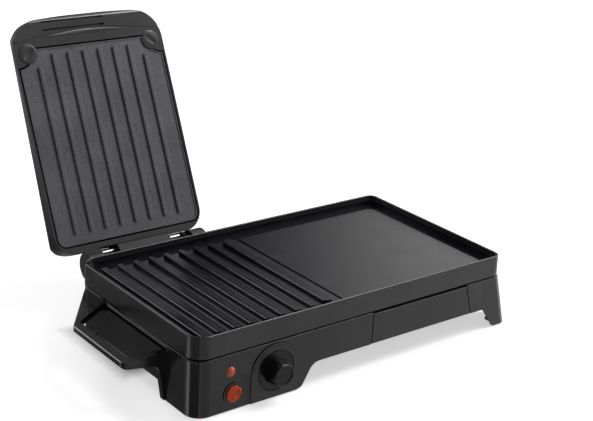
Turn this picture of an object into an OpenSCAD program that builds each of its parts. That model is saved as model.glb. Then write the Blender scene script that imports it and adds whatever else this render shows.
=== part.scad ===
// Electric indoor grill: a ribbed and flat cooking plate on a moulded base,
// with a heated, ribbed lid hinged behind the ribbed half.
// X runs along the grill, Y to the back, Z up. Millimetres.

/* [Cooking tray] */
// Length of the tray frame, side to side
tray_l = 470; // [450:2:500]
// Depth of the tray frame, front to back
tray_d = 258; // [250:2:280]
// Height of the frame's rim above the table
tray_top = 101; // [99:1:108]
// Height of the frame's outer wall
tray_h = 27; // [25:1:28]
// Radius of the frame's corners at the ribbed end
tray_r = 20; // [16:1:24]
// Radius of the frame's corners at the sliding end
tray_r2 = 12; // [12:1:16]
// Thickness of the frame's outer wall
frame_wall = 2.6; // [2:0.1:3.4]
// Width of the ledge that carries the plate, from the outer face
ledge_w = 10.6; // [9.6:0.2:12]

/* [Cooking plate] */
// Clearance between plate and frame
plate_gap = 0.6; // [0.4:0.1:1]
// Depth of the plate's raised edge below the frame's rim
edge_drop = 5; // [4:0.5:7]
// Depth of the cooking deck below the frame's rim
deck_drop = 10; // [9.5:0.5:11]
// Thickness of the casting under the deck
plate_t = 4; // [3:0.5:4.5]
// Width of the gutter at the back of the deck
gutter_back = 17; // [12:1:22]
// Width of the gutter at the sliding end of the deck
gutter_right = 15; // [12:1:20]
// Width of the gutter at the front and at the ribbed end
gutter_narrow = 6.5; // [5:0.5:8]
// Height of the lower ribs above the deck
rib_h = 4.3; // [3:0.1:5]
// Width of the lower ribs at their foot
rib_w = 9.6; // [8:0.2:11]
// Width of the divider between the ribbed and the flat half
divider_w = 16; // [12:1:20]
// Width of the groove between the divider and the flat half
groove_w = 3.4; // [2.4:0.2:4]

/* [Lid] */
// Width of the lid
lid_w = 218; // [214:1:226]
// Reach of the lid from the hinge axis to the tip of its handle
lid_reach = 323.5; // [314:0.5:340]
// Thickness of the lid above its rim, at the hinge
lid_t = 36; // [34:1:42]
// Thickness of the lid above its rim, at the handle
lid_t2 = 20; // [18:1:26]
// Wall of the lid's moulding
lid_wall = 2.6; // [2:0.1:3.2]
// Corner radius of the lid in plan
lid_r = 28; // [22:1:34]
// Radius of the lid's arched front in plan
front_r = 900; // [700:20:1600]
// Number of ribs on the lid plate, and on the ribbed half of the tray
rib_count = 8; // [6:1:8]
// Spacing of the ribs
rib_pitch = 22.1; // [20:0.1:22.6]
// Height of the lid's ribs above its plate
lid_rib_h = 3.2; // [2.4:0.1:3.2]
// Width of the lid's ribs
lid_rib_w = 7.2; // [6:0.2:9]
// Gap between the closed lid's rim and the frame's rim
lid_gap = 1.1; // [1:0.1:3]
// Depth of the handle at the middle of the lid's front
handle_d = 20.5; // [16:0.5:24]
// How far the open lid leans back past upright
lean = 25.4; // [10:0.2:27]

/* [Hinge] */
// Distance of the hinge axis behind the tray frame
hinge_back = 22; // [21.5:0.5:26]
// Depth of the hinge axis below the frame's rim
hinge_drop = 23.5; // [22:0.5:26]
// Radius of the hinge towers
tower_r = 18.5; // [16:0.5:19]
// Width of each hinge tower
tower_w = 20; // [14:1:20]
// Length of the lid's hinge block between the towers
block_l = 130; // [116:2:134]
// Radius of the hinge pins
pin_r = 4; // [3:0.25:5]
// Running clearance of the hinge pins, on the radius
pin_clear = 0.06; // [0.03:0.01:0.09]

/* [Base] */
// Height of the base's front apron above the table
apron_z = 29.5; // [27:0.5:32]
// Height of the side walls' lower edge above the table
side_z = 20; // [14:1:26]
// Thickness of the base's walls
base_wall = 2.8; // [2.4:0.1:3.4]
// Shadow gap between base and tray frame
shadow_gap = 2.4; // [1.5:0.1:3]
// Depth of the control box, front to back
box_d = 67; // [60:1:76]
// Length of the control box at its foot
box_l = 150; // [146:1:160]
// How far the sliding end of the base flares outwards down to its feet
leg_flare = 19; // [10:1:22]
// Height of the rubber feet below the legs
foot_h = 1; // [0.8:0.1:2]

/* [Carrying handles] */
// How far the handles reach out from the base
grip_reach = 56; // [50:1:64]
// Width of the grip bar
grip_w = 12; // [10:1:16]
// Thickness of the front arm of each handle
arm_t = 8; // [6:1:12]
// Thickness of the grip bar
grip_t = 8; // [8:1:12]

/* [Drip tray] */
// Left edge of the drip tray's front panel
drawer_x = 20.8; // [16:0.2:30]
// Length of the front panel
drawer_l = 166.6; // [150:0.2:166.6]
// Depth of the tray behind the panel
drawer_d = 180; // [150:2:190]
// Height of the tray's walls
drawer_h = 19; // [15:1:24]
// Travel of the drip tray
drawer_travel = 150; // [100:5:160]

/* [Controls] */
// Centre of the heat knob from the tray's left end
knob_x = 110; // [106:1:116]
// Height of the heat knob's axis
knob_z = 36; // [34:0.5:36]
// Radius of the knob's grip
knob_r = 17; // [15:0.5:19]
// How far the knob stands out of the panel
knob_out = 19; // [15:1:22]
// Radius of the power button
button_r = 10; // [9:0.5:12]
// Travel of the power button
button_travel = 3; // [1.5:0.1:3]
// Radius of the pilot lamp
lamp_r = 6.2; // [5:0.2:7]

/* [Heaters] */
// Diameter of the sheathed heating elements
heater_d = 6.6; // [5.6:0.2:7]
// Radius of their bends
bend_r = 25; // [20:1:27]

/* [Hidden] */
$fn = 96;
eps = 0.01;
seat = 0.3;          // gap between pieces that only lie against each other
cut = 1;             // overshoot of every cutting body

// places of the tray
x_left = -tray_l/2;
x_right = tray_l/2;
y_front = -tray_d/2;
y_back = tray_d/2;
wall_z = tray_top - tray_h;             // lower edge of the frame's wall
ledge_z = wall_z + 10;                  // top of the ledge under the plate
ledge_t = 3;
skirt_in = 5.2;                         // inset of the frame's skirt
skirt_t = 2;

// places of the base
base_z = wall_z - shadow_gap;           // top edge of the base
shelf_z = base_z - 3.6;                 // shelf that the skirt stands on
shelf_t = 2;
shelf_w = 9;
skirt_z = shelf_z + seat;
cover_t = 2;
cover_z = apron_z;
cover_top = cover_z + cover_t;
leg_z = foot_h;                         // lower end of the legs
lip = 3;                                // how far the sliding end stands out at its top
end_x = x_right + lip;
flare = atan(leg_flare/(base_z - leg_z));
bead_r = base_wall/2;                   // rounding of the base's top edge
scoop_d = 5;                            // finger scoops above the handles

// places of the cooking plate
plate_in = frame_wall + plate_gap;
plate_z = ledge_z;
edge_z = tray_top - edge_drop;
edge_w = 3;
deck_z = tray_top - deck_drop;
gutter_z = plate_z + 3.5;
deck_x0 = x_left + plate_in + edge_w + gutter_narrow;
deck_x1 = x_right - plate_in - edge_w - gutter_right;
deck_y0 = y_front + plate_in + edge_w + gutter_narrow;
deck_y1 = y_back - plate_in - edge_w - gutter_back;
pocket_z = deck_z - plate_t;            // underside of the deck
pocket_in = 8;
drain_l = 26;
drain_w = 4;

// the lid, closed: v runs forward from the hinge axis, w up from it
hinge_y = y_back + hinge_back;
hinge_z = tray_top - hinge_drop;
open_angle = 90 + lean;
lid_x = x_left + lid_w/2;
rim_w = tray_top + lid_gap - hinge_z;
crest_w = rim_w - 2.1;
field_w = crest_w + lid_rib_h;
lid_plate_t = 4;
plate_back_w = field_w + lid_plate_t;
crown_w = rim_w + lid_t;
tilt = atan((lid_t - lid_t2)/(lid_reach - 60)); // the lid grows thinner to the front
crown_v = 40;                           // where it is thickest
lid_v0 = 18;                            // rear wall of the lid
lid_plate_gap = 0.6;
border = lid_wall + lid_plate_gap;      // lid wall and its gap to the plate
lp_v0 = lid_v0 + 10.5;                  // rear edge of the lid plate
arc_sag = 11;                           // rise of the line between lid and handle
arc_r = (pow(lid_w/2, 2) + arc_sag*arc_sag)/(2*arc_sag);
arc_v = lid_reach - handle_d;           // that line at the middle of the lid
lp_v1 = arc_v - arc_sag - 7;            // front edge of the lid plate
notch_r = 24;                           // hollow corners of the lid plate
lid_rib_v0 = lp_v0 + 15;
lid_rib_v1 = lp_v1 - 9.5;
lid_rib_short = 15;
lid_rib_x0 = lid_x - (rib_count - 1)/2*rib_pitch;
rib_x0 = lid_rib_x0 - rib_pitch/2;

// the divider stands just past the lid's edge
divider_x = lid_x + lid_w/2 - 18.5;
groove_x = lid_x + lid_w/2 + 2;
groove_deep = 1.8;

// hinge
tower_gap = 1;
barrel_r = 12;
tower_x = [lid_x - block_l/2 - tower_gap - tower_w, lid_x + block_l/2 + tower_gap];
pin_l = tower_w - 3 + 18;
bush_l = 15;
bush_t = 2.2;
stop_r = 25;
stop_t = 8;
stop_l = 10;

// control box
box_x1 = x_left + box_l;
box_slope = 60;
knob_cx = x_left + knob_x;
button_cx = x_left + 52;
button_z = 22;
lamp_cx = x_left + 48;
lamp_z = 50;
panel_r = 33.5;
panel_out = 1.2;                        // raised panel round the knob
collar_out = 1.6;                       // ring on that panel
face_y = y_front - 0.4;
flange_r = knob_r + 7.5;
shaft_r = 3;
shaft_clear = 0.06;
bush_r = 5;
nut_r = 8;
nut_t = 2.6;

// heaters
heater_z = pocket_z - 0.4 - heater_d/2;
heater_x = [deck_x0 + 50, deck_x1 - 55]; // where the bends begin
saddle_x = [heater_x[0] + 22, heater_x[0] + 132, heater_x[1] - 89, heater_x[1] - 9];
lid_heater_l = lp_v1 - lp_v0 - 100;
pan_t = 0.8;
pan_z = ledge_z - ledge_t - 8;
pan_in = 15;
lid_heater_w = plate_back_w + 0.4 + heater_d/2;
lid_pan_w = lid_heater_w + heater_d/2 + 1.5;
lid_boss_x = [-44, 44];
lid_boss_v = [95, 215];

// drip tray
drawer_x1 = drawer_x + drawer_l;
drawer_gap = 0.5;
drawer_t = 1.6;
panel_t = base_wall - seat;
drawer_z = cover_top + 2.3;
drawer_in = 6;                          // the tray is narrower than its front
drawer_slant = 0.28;                    // the front's end leans like the base's end
tray_x0 = drawer_x + drawer_in;
tray_box_l = drawer_l - 2*drawer_in - drawer_slant*(drawer_z + drawer_h - apron_z);
runner_t = 2;

// carrying handles
grip_z = base_z - 9.6;                  // top face at the base
grip_y0 = y_front + 59;
grip_y1 = y_back - 89;
root_y1 = y_back - 8;
hole_y0 = grip_y0 + arm_t;
hole_y1 = y_back - 53;

foot_r = 5;
foot_sink = 2;
screw_r = 1.5;
screw_fit = 0.05;
box_head_r = 2.6;
box_head_t = 0.4;
post_r = 4.5;
post_x = x_right - 30;
post_y = tray_d/2 - 24;
cover_posts = [[tower_x[0] + tower_w/2 - 11, post_y], [0, post_y], [post_x, post_y],
    [0, -post_y], [post_x, -post_y]];
box_posts = [[x_left + 12, y_front + box_d - 12], [box_x1 - 16, y_front + box_d - 12]];
inlet_x = 12;
inlet_z = (cover_top + shelf_z)/2;
inlet_r = 3.75;

// the whole grill is centred on its own outline, lid open
front_reach = -y_front + knob_out;
rear_reach = hinge_y + (lid_reach - 7)*sin(lean)
    + (crown_w - (lid_reach - crown_v)*tan(tilt))*cos(lean);
centre_y = (rear_reach - front_reach)/2;

/* outline helpers */
function unit(v) = v/norm(v);

// arc of radius r that rounds the corner b between a and c
function round_corner(a, b, c, r, n = 8) =
    let (u = unit(a - b), w = unit(c - b),
        half = acos(max(-1, min(1, u*w)))/2,
        centre = b + unit(u + w)*r/sin(half),
        p = b + u*r/tan(half), q = b + w*r/tan(half),
        a0 = atan2(p[1] - centre[1], p[0] - centre[0]),
        a1 = atan2(q[1] - centre[1], q[0] - centre[0]),
        sweep = ((a1 - a0 + 540) % 360) - 180)
    [for (i = [0:n]) centre + r*[cos(a0 + sweep*i/n), sin(a0 + sweep*i/n)]];

// polygon whose corners [x, y, radius] are rounded, radius 0 staying sharp
function rounded(pts) = [for (i = [0:len(pts) - 1])
    let (m = len(pts), b = [pts[i][0], pts[i][1]], r = pts[i][2],
        a = [pts[(i + m - 1) % m][0], pts[(i + m - 1) % m][1]],
        c = [pts[(i + 1) % m][0], pts[(i + 1) % m][1]])
    each (r > 0 ? round_corner(a, b, c, r) : [b])];

// rectangle with one corner radius at its left end and another at its right end
module end_rect(l, d, r1, r2) {
    translate([-l/2 + r1, -d/2]) square([l - r1 - r2, d]);
    translate([-l/2, -d/2 + r1]) square([r1 + eps, d - 2*r1]);
    translate([l/2 - r2 - eps, -d/2 + r2]) square([r2 + eps, d - 2*r2]);
    for (s = [-1, 1]) {
        translate([-l/2 + r1, s*(d/2 - r1)]) circle(r1);
        translate([l/2 - r2, s*(d/2 - r2)]) circle(r2);
    }
}

module rounded_rect(l, d, r) {
    end_rect(l, d, r, r);
}

// runs a section (outwards, up) round such a rectangle
module sweep(l, d, r1, r2) {
    for (c = [[l/2 - r2, d/2 - r2, r2, 0], [-l/2 + r1, d/2 - r1, r1, 90],
            [-l/2 + r1, -d/2 + r1, r1, 180], [l/2 - r2, -d/2 + r2, r2, 270]])
        translate([c[0], c[1], 0]) rotate(c[3]) rotate_extrude(angle = 90)
            translate([c[2], 0]) children();
    translate([l/2, 0, 0]) along_y(-d/2 + r2, d/2 - r2) children();
    mirror([1, 0, 0]) translate([l/2, 0, 0]) along_y(-d/2 + r1, d/2 - r1) children();
    for (s = [0, 1]) mirror([0, s, 0])
        translate([0, d/2, 0]) rotate(90) along_y(-l/2 + r2, l/2 - r1) children();
}

// block with the tray's outline, inset from it, between two heights
module tray_block(inset, z0, z1) {
    translate([0, 0, z0]) linear_extrude(z1 - z0)
        end_rect(tray_l - 2*inset, tray_d - 2*inset, max(tray_r - inset, 4),
            max(tray_r2 - inset, 3));
}

// ring between two insets of the tray's outline
module tray_ring(outer, inner, z0, z1) {
    difference() {
        tray_block(outer, z0, z1);
        tray_block(inner, z0 - cut, z1 + cut);
    }
}

// front-view outline (x, z) cut or built along Y
module along_y(y0, y1) {
    translate([0, y1, 0]) rotate([90, 0, 0]) linear_extrude(y1 - y0) children();
}

// side-view outline (y, z) cut or built along X
module along_x(x0, x1) {
    translate([x0, 0, 0]) rotate([90, 0, 90]) linear_extrude(x1 - x0) children();
}

module rod_y(x, z, y0, y1, r) {
    translate([x, y0, z]) rotate([-90, 0, 0]) cylinder(h = y1 - y0, r = r);
}

module rod_x(y, z, x0, x1, r) {
    translate([x0, y, z]) rotate([0, 90, 0]) cylinder(h = x1 - x0, r = r);
}

module slot2d(l, w) {
    square([l - w, w], center = true);
    for (s = [-1, 1]) translate([s*(l - w)/2, 0]) circle(w/2);
}

// puts children drawn as (x, v, w) on the closed lid, then opens it
module on_lid() {
    translate([0, hinge_y, hinge_z]) rotate([-open_angle, 0, 0]) mirror([0, 1, 0]) children();
}

// rib with rounded ends, sloping flanks and a softened crest, lying along Y
module rib(x, y0, y1, z, w, h, down = false) {
    slope = 0.9;
    crest = w/2 - slope;
    s = down ? -1 : 1;
    intersection() {
        along_y(y0 - cut, y1 + cut) translate([x, z]) scale([1, s])
            polygon(rounded([[-w/2, -eps, 0], [w/2, -eps, 0], [w/2, h*0.35, 0],
                [crest, h, 1.2], [-crest, h, 1.2], [-w/2, h*0.35, 0]]));
        translate([x, (y0 + y1)/2, z - (h + cut)]) linear_extrude(2*(h + cut))
            rotate(90) slot2d(y1 - y0, w);
    }
}

// heating element bent into three legs joined by half-turn bends
module serpentine(x0, x1, gap, legs, r) {
    y0 = -(legs - 1)/2*gap;
    for (i = [0:legs - 1]) {
        lead = (i == 0 || i == legs - 1) ? x0 - 18 : x0;
        rod_x(y0 + i*gap, 0, lead, x1, r);
    }
    for (i = [0:legs - 2])
        translate([i % 2 == 0 ? x1 : x0, y0 + (i + 0.5)*gap, 0])
            rotate(i % 2 == 0 ? -90 : 90) rotate_extrude(angle = 180)
                translate([gap/2, 0]) circle(r);
}

module screw(l, head_r = 3.2, head_h = 2) {
    cylinder(h = l, r = screw_r);
    translate([0, 0, -head_h]) difference() {
        cylinder(h = head_h, r = head_r);
        translate([0, 0, -cut]) cylinder(h = cut + 1.1, r = 1.2, $fn = 6);
    }
}

// ---- cooking top ----

module tray_frame() {
    draft = 0.5;
    color("#2e2e30") union() {
        sweep(tray_l, tray_d, tray_r, tray_r2) union() {
            polygon([[draft, wall_z], [0, tray_top - frame_wall/2],
                [-frame_wall, tray_top - frame_wall/2], [draft - frame_wall, wall_z]]);
            translate([-frame_wall/2, tray_top - frame_wall/2]) circle(frame_wall/2);
            translate([-ledge_w, ledge_z - ledge_t]) square([ledge_w - 1, ledge_t]);
            translate([-skirt_in - skirt_t, skirt_z])
                square([skirt_t, ledge_z - ledge_t - skirt_z + eps]);
        }
        // bosses over the posts of the base
        for (p = cover_posts)
            translate([p[0], sign(p[1])*(tray_d/2 - ledge_w), skirt_z + seat]) intersection() {
                cylinder(h = ledge_z - skirt_z - seat, r = 6);
                translate([-10, p[1] > 0 ? -10 : -3, 0]) cube([20, 13, 200]);
            }
    }
}

module cooking_plate() {
    color("#2b2b2e") difference() {
        union() {
            tray_ring(plate_in, plate_in + edge_w, plate_z, edge_z);
            tray_block(plate_in, plate_z, gutter_z);
            translate([(deck_x0 + deck_x1)/2, (deck_y0 + deck_y1)/2, plate_z])
                linear_extrude(deck_z - plate_z)
                    rounded_rect(deck_x1 - deck_x0, deck_y1 - deck_y0, 10);
            for (i = [0:rib_count - 1])
                rib(rib_x0 + i*rib_pitch, deck_y0 + 1, deck_y1 - 1, deck_z, rib_w, rib_h);
            rib(divider_x, deck_y0 + 3, deck_y1 - 3, deck_z, divider_w, rib_h + 0.4);
        }
        translate([(deck_x0 + deck_x1)/2, (deck_y0 + deck_y1)/2, plate_z - cut])
            linear_extrude(pocket_z - plate_z + cut)
                rounded_rect(deck_x1 - deck_x0 - 2*pocket_in, deck_y1 - deck_y0 - 2*pocket_in, 8);
        translate([drawer_x + drawer_l/2, deck_y0 - gutter_narrow/2 - 0.3, plate_z - cut])
            linear_extrude(10) slot2d(drain_l, drain_w);
        // groove of the flat half, beside the closed lid
        translate([groove_x - groove_w/2, deck_y0 - cut, deck_z - groove_deep])
            cube([groove_w, deck_y1 - deck_y0 + 2*cut, 10]);
    }
}

module plate_heater() {
    color("#4a4a4c") translate([0, 0, heater_z])
        serpentine(heater_x[0], heater_x[1], 2*bend_r, 4, heater_d/2);
}

module heater_saddles() {
    color("#9a9c9e")
        for (x = saddle_x, y = [-3*bend_r, -bend_r, bend_r, 3*bend_r])
            difference() {
                translate([x - 4, y - heater_d/2 - 2, pan_z + pan_t])
                    cube([8, heater_d + 4, heater_z - pan_z - pan_t]);
                rod_x(y, heater_z, x - 5, x + 5, heater_d/2 + 0.1);
            }
}

module heat_reflector() {
    color("#b4b6b8") difference() {
        union() {
            tray_ring(skirt_in + skirt_t + seat, pan_in + pan_t, ledge_z - ledge_t - pan_t,
                ledge_z - ledge_t);
            tray_ring(pan_in, pan_in + pan_t, pan_z, ledge_z - ledge_t);
            tray_block(pan_in, pan_z, pan_z + pan_t);
        }
        for (p = cover_posts)
            translate([p[0], sign(p[1])*(tray_d/2 - ledge_w), pan_z - cut])
                cylinder(h = 20, r = 6 + seat);
        translate([drawer_x + drawer_l/2, y_front + pan_in + 7, pan_z - cut])
            linear_extrude(pan_t + 2*cut) slot2d(drain_l + 20, 9);
        translate([drawer_x + drawer_l/2, y_front + pan_in, pan_z - cut])
            linear_extrude(12) slot2d(drain_l + 16, 22);
    }
}

// ---- base ----

// space under the front apron, between the control box and the right leg
module front_arch() {
    foot = box_x1;
    shoulder = box_x1 + (apron_z - leg_z)/tan(box_slope);
    polygon(rounded([[x_left - 90, -9, 0], [x_left - 90, leg_z, 0], [foot, leg_z, 8],
        [shoulder, apron_z, 16], [drawer_x1 + 23, apron_z, 10],
        [x_right - 4, leg_z, 3], [x_right + 90, leg_z, 0], [x_right + 90, -9, 0]]));
}

module back_arch() {
    polygon(rounded([[x_left - 90, -9, 0], [x_left - 90, leg_z, 0], [x_left + 26, leg_z, 4],
        [x_left + 44, apron_z, 12], [x_right - 24, apron_z, 10], [x_right - 4, leg_z, 3],
        [x_right + 90, leg_z, 0], [x_right + 90, -9, 0]]));
}

module side_arch(front) {
    polygon(rounded([[front - 60, -9, 0], [front - 60, leg_z, 0], [front - 3, leg_z, 2.5],
        [front + 2, side_z, 10], [y_back - 36, side_z, 10], [y_back - 28, leg_z, 3],
        [y_back + 60, leg_z, 0], [y_back + 60, -9, 0]]));
}

// solid form of the base, inset from its outer face: its sliding end leans outwards
module base_form(inset, z0, z1) {
    r = tray_r2 - inset;
    half = tray_d/2 - inset - 0.02;
    joint_x = x_right - 30;
    intersection() {
        tray_block(inset, z0, z1);
        translate([x_left - cut, y_front - cut, z0 - cut])
            cube([joint_x - x_left + cut, tray_d + 2*cut, z1 - z0 + 2*cut]);
    }
    difference() {
        translate([end_x, 0, base_z]) rotate([0, -flare, 0]) translate([-inset, 0, -120])
            linear_extrude(200) {
                translate([-90, -half]) square([90 - r, 2*half]);
                translate([-r - eps, -half + r]) square([r + eps, 2*(half - r)]);
                for (s = [-1, 1]) translate([-r, s*(half - r)]) circle(r);
            }
        translate([joint_x - 200, y_front - cut, -150]) cube([200, tray_d + 2*cut, 400]);
        translate([joint_x - cut, y_front - cut, z0 - 200]) cube([120, tray_d + 2*cut, 200]);
        translate([joint_x - cut, y_front - cut, z1]) cube([120, tray_d + 2*cut, 200]);
    }
}

module base_shell() {
    difference() {
        union() {
            base_form(0, leg_z, base_z - bead_r);
            translate([lip/2, 0, base_z - bead_r]) sweep(tray_l + lip + 0.3, tray_d, tray_r, tray_r2)
                union() {
                    translate([-bead_r, 0]) circle(bead_r);
                    translate([-base_wall - 0.6, -1]) square([base_wall + 0.6, 1]);
                    translate([-base_wall - 0.6, -1]) square([base_wall + 0.6 - bead_r, 1 + bead_r]);
                }
        }
        base_form(base_wall, leg_z - 2*cut, base_z + cut);
        along_y(y_front - 20, y_front + box_d) front_arch();
        along_y(y_back - 60, y_back + 20) back_arch();
        along_x(x_left - 20, x_left + 30) side_arch(y_front + box_d);
        along_x(x_right - 30, x_right + 60) side_arch(y_front + 41);
    }
}

// inner walls of the control box, at its back and its right
module box_walls() {
    inner = base_wall/sin(box_slope);
    rise = (cover_top - leg_z)/tan(box_slope);
    difference() {
        intersection() {
            tray_block(0, leg_z, cover_top);
            along_y(y_front, y_front + box_d) difference() {
                translate([x_left, leg_z]) square([box_l + 30 - seat, cover_top - leg_z]);
                front_arch();
            }
        }
        intersection() {
            tray_block(base_wall, leg_z - cut, cover_top + cut);
            along_y(y_front - cut, y_front + box_d - base_wall)
                polygon([[x_left - 5, leg_z - cut], [box_x1 - inner, leg_z - cut],
                    [box_x1 - inner + rise, cover_top + cut], [x_left - 5, cover_top + cut]]);
        }
    }
}

module base_housing() {
    color("#2c2c2e") difference() {
        union() {
            base_shell();
            box_walls();
            difference() {
                base_form(base_wall/2, shelf_z - shelf_t, shelf_z);
                tray_block(shelf_w, shelf_z - shelf_t - cut, shelf_z + cut);
            }
            // raised panel round the knob, and the ring on it
            along_y(y_front - panel_out, y_front + base_wall) difference() {
                union() {
                    translate([knob_cx, knob_z]) circle(panel_r);
                    translate([knob_cx - panel_r, leg_z]) square([2*panel_r, knob_z - leg_z]);
                }
                front_arch();
            }
            translate([knob_cx, y_front - panel_out + eps, knob_z]) rotate([90, 0, 0])
                cylinder(h = collar_out, r1 = panel_r - 2.4, r2 = panel_r - 4);
            // walls behind and under the finger scoops
            for (s = [-1, 1]) translate([s > 0 ? x_right - scoop_d - 2.2 : x_left + 1,
                    scoop_y(s) - scoop_l/2 - 2, grip_z - 2])
                cube([scoop_d + 1.2 + (s > 0 ? lip : 0), scoop_l + 4, shelf_z - grip_z + 1]);
            // screw posts of the cover, tied to the wall
            for (p = cover_posts) {
                translate([p[0], p[1], cover_top])
                    cylinder(h = shelf_z - cover_top, r = post_r);
                translate([p[0] - 1.2, p[1] > 0 ? p[1] : y_front + base_wall - eps, cover_top])
                    cube([2.4, tray_d/2 - base_wall - abs(p[1]) + eps, shelf_z - cover_top]);
            }
            // posts of the control box cover, tied to its back wall
            for (p = box_posts) {
                translate([p[0], p[1], leg_z + cover_t]) cylinder(h = 22, r = post_r);
                translate([p[0] - 1.2, p[1], leg_z + cover_t])
                    cube([2.4, 12 - base_wall + eps, 22]);
            }
            // floors of the legs, over their feet
            intersection() {
                base_form(base_wall/2, leg_z, leg_z + 4);
                for (c = foot_places()) if (c[2] == 1)
                    translate([c[0] - 9, c[1] - 9, 0]) cube([18, 18, 20]);
            }
        }
        // mouth of the drip tray
        along_y(y_front - cut, y_front + base_wall + cut - eps) drawer_outline(drawer_gap, cut);
        // seat of the knob's skirt
        rod_y(knob_cx, knob_z, y_front - 10, face_y, flange_r + 1);
        rod_y(knob_cx, knob_z, y_front - cut, y_front + 12, bush_r + 0.2);
        rod_y(button_cx, button_z, y_front - cut, y_front + 12, button_r + 2);
        rod_y(lamp_cx, lamp_z, y_front - cut, y_front + 12, lamp_r + 0.2);
        rod_y(inlet_x, inlet_z, y_back - 12, y_back + cut, inlet_r + 3 + 0.1);
        // finger scoops above the carrying handles
        for (s = [-1, 1])
            translate([s*(x_right + 1), scoop_y(s), grip_z])
                linear_extrude(base_z) rotate(90) slot2d(scoop_l, 2*scoop_d + 2);
        for (p = cover_posts) translate([p[0], p[1], cover_top - cut])
            cylinder(h = 26, r = screw_r + screw_fit);
        for (p = box_posts) translate([p[0], p[1], leg_z])
            cylinder(h = 18, r = screw_r + screw_fit);
        for (c = foot_places()) if (c[2] == 1)
            translate([c[0], c[1], leg_z - cut]) cylinder(h = foot_sink + cut, r = foot_r + 0.1);
        for (x = tower_x, z = [-1, 1])
            rod_y(x + tower_w/2, tower_screw_z(z), y_back - 20, y_back + cut, screw_r + screw_fit);
    }
}

// feet: x, y and 1 where the base itself carries them, 0 on the control box cover
function foot_places() = [[x_left + 13, y_front + 20, 0], [box_x1 - 40, y_front + 40, 0],
    [end_x + leg_flare - 11, y_front + 11, 1], [end_x + leg_flare - 11, y_back - 11, 1],
    [x_left + 14, y_back - 14, 1]];

scoop_l = 146;
function scoop_y(s) = -s*(hole_y0 + scoop_l/2 - 8);

function tower_screw_z(s) = base_z - 16 + s*6;

module rubber_feet() {
    color("#1c1c1c") for (c = foot_places()) translate([c[0], c[1], 0]) {
        cylinder(h = leg_z + foot_sink, r = foot_r);
        if (c[2] == 0) cylinder(h = leg_z, r = foot_r + 2);
    }
}

module base_cover() {
    color("#242426") difference() {
        base_form(base_wall + seat, cover_z, cover_top);
        translate([x_left, y_front, cover_z - cut])
            cube([box_l + 30, box_d + seat, cover_t + 2*cut]);
        for (p = cover_posts) translate([p[0], p[1], cover_z - cut])
            cylinder(h = cover_t + 2*cut, r = screw_r + 0.3);
        // vents under the reflector
        for (i = [0:7]) translate([-90 + i*10, 40, cover_z - cut])
            linear_extrude(cover_t + 2*cut) rotate(90) slot2d(44, 4);
    }
}

module control_box_cover() {
    inner = base_wall/sin(box_slope);
    color("#242426") difference() {
        intersection() {
            tray_block(base_wall + seat, leg_z, leg_z + cover_t);
            translate([x_left, y_front + base_wall + seat, 0])
                cube([box_l - inner - seat - 3, box_d - 2*base_wall - 2*seat, 20]);
        }
        for (p = box_posts) translate([p[0], p[1], leg_z - cut]) {
            cylinder(h = cover_t + 2*cut, r = screw_r + 0.3);
            cylinder(h = cut + box_head_t, r = box_head_r + 0.2);
        }
        for (c = foot_places()) if (c[2] == 0)
            translate([c[0], c[1], leg_z - cut]) cylinder(h = foot_sink + 2*cut, r = foot_r + 0.1);
    }
}

// open loop handle of the ribbed end, whose front arm runs down the control box;
// turned round without that leg it is the handle of the sliding end
module grip(turned) {
    reach = x_left - grip_reach;
    bar = reach + grip_w;
    root = x_left + 9;
    color("#2c2c2e") difference() {
        rotate(turned ? 180 : 0) union() {
            intersection() {
                translate([0, 0, grip_z - 2*grip_t]) linear_extrude(3*grip_t) difference() {
                    polygon(rounded([[root, grip_y0, 0], [reach, grip_y0, 8],
                        [reach - 1, grip_y1, 9], [root, root_y1 + (turned ? -6 : 9), 0]]));
                    polygon(rounded([[root, hole_y0, 0], [bar, hole_y0, 4],
                        [bar, grip_y1 + 8, 4], [x_left, hole_y1, 3], [root, hole_y1, 0]]));
                }
                along_y(grip_y0 - cut, root_y1 + 10)
                    polygon(rounded([[root + cut, grip_z, 0], [reach - 1, grip_z, 3],
                        [reach - 1, grip_z - grip_t, 4.5], [root + cut, grip_z - grip_t, 0]]));
            }
            intersection() {
                linear_extrude(grip_z) polygon(rounded([[root, grip_y0, 0], [reach, grip_y0, 8],
                    [reach, hole_y0, 0], [root, hole_y0, 0]]));
                along_y(grip_y0 - cut, hole_y0 + cut)
                    polygon(rounded(concat([[root + cut, grip_z, 0], [reach, grip_z, 3],
                        [reach, grip_z - grip_t, 4.5]], turned ?
                        [[x_left - 20, grip_z - grip_t - 5, 0], [root + cut, grip_z - grip_t - 5, 0]] :
                        [[x_left - 9, grip_z - grip_t - 7, 12], [x_left - 1.6, leg_z, 0],
                            [root + cut, leg_z, 0]])));
            }
        }
        base_form(0, 0, base_z);
    }
}

// ---- hinge ----

module hinge_tower(i) {
    x = tower_x[i];
    foot = y_back + seat;
    inner_side = i == 0 ? x + tower_w - eps : x - stop_l;
    color("#2c2c2e") difference() {
        union() {
            rod_x(hinge_y, hinge_z, x, x + tower_w, tower_r);
            along_x(x, x + tower_w)
                polygon([[foot, base_z - 26], [foot, base_z],
                    [hinge_y - tower_r*cos(28), hinge_z + tower_r*sin(28)],
                    [hinge_y, hinge_z], [hinge_y + tower_r*cos(42), hinge_z - tower_r*sin(42)]]);
            // stop that holds the open lid
            translate([inner_side, foot, hinge_z - stop_r])
                cube([stop_l + eps, hinge_y - stop_t/2 - seat - foot, 8]);
        }
        rod_x(hinge_y, hinge_z, i == 0 ? x + 3 : x - cut, i == 0 ? x + tower_w + cut : x + tower_w - 3,
            pin_r + 0.01);
        for (z = [-1, 1])
            rod_y(x + tower_w/2, tower_screw_z(z), foot - cut, foot + 8, screw_r + screw_fit);
    }
}

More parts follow.
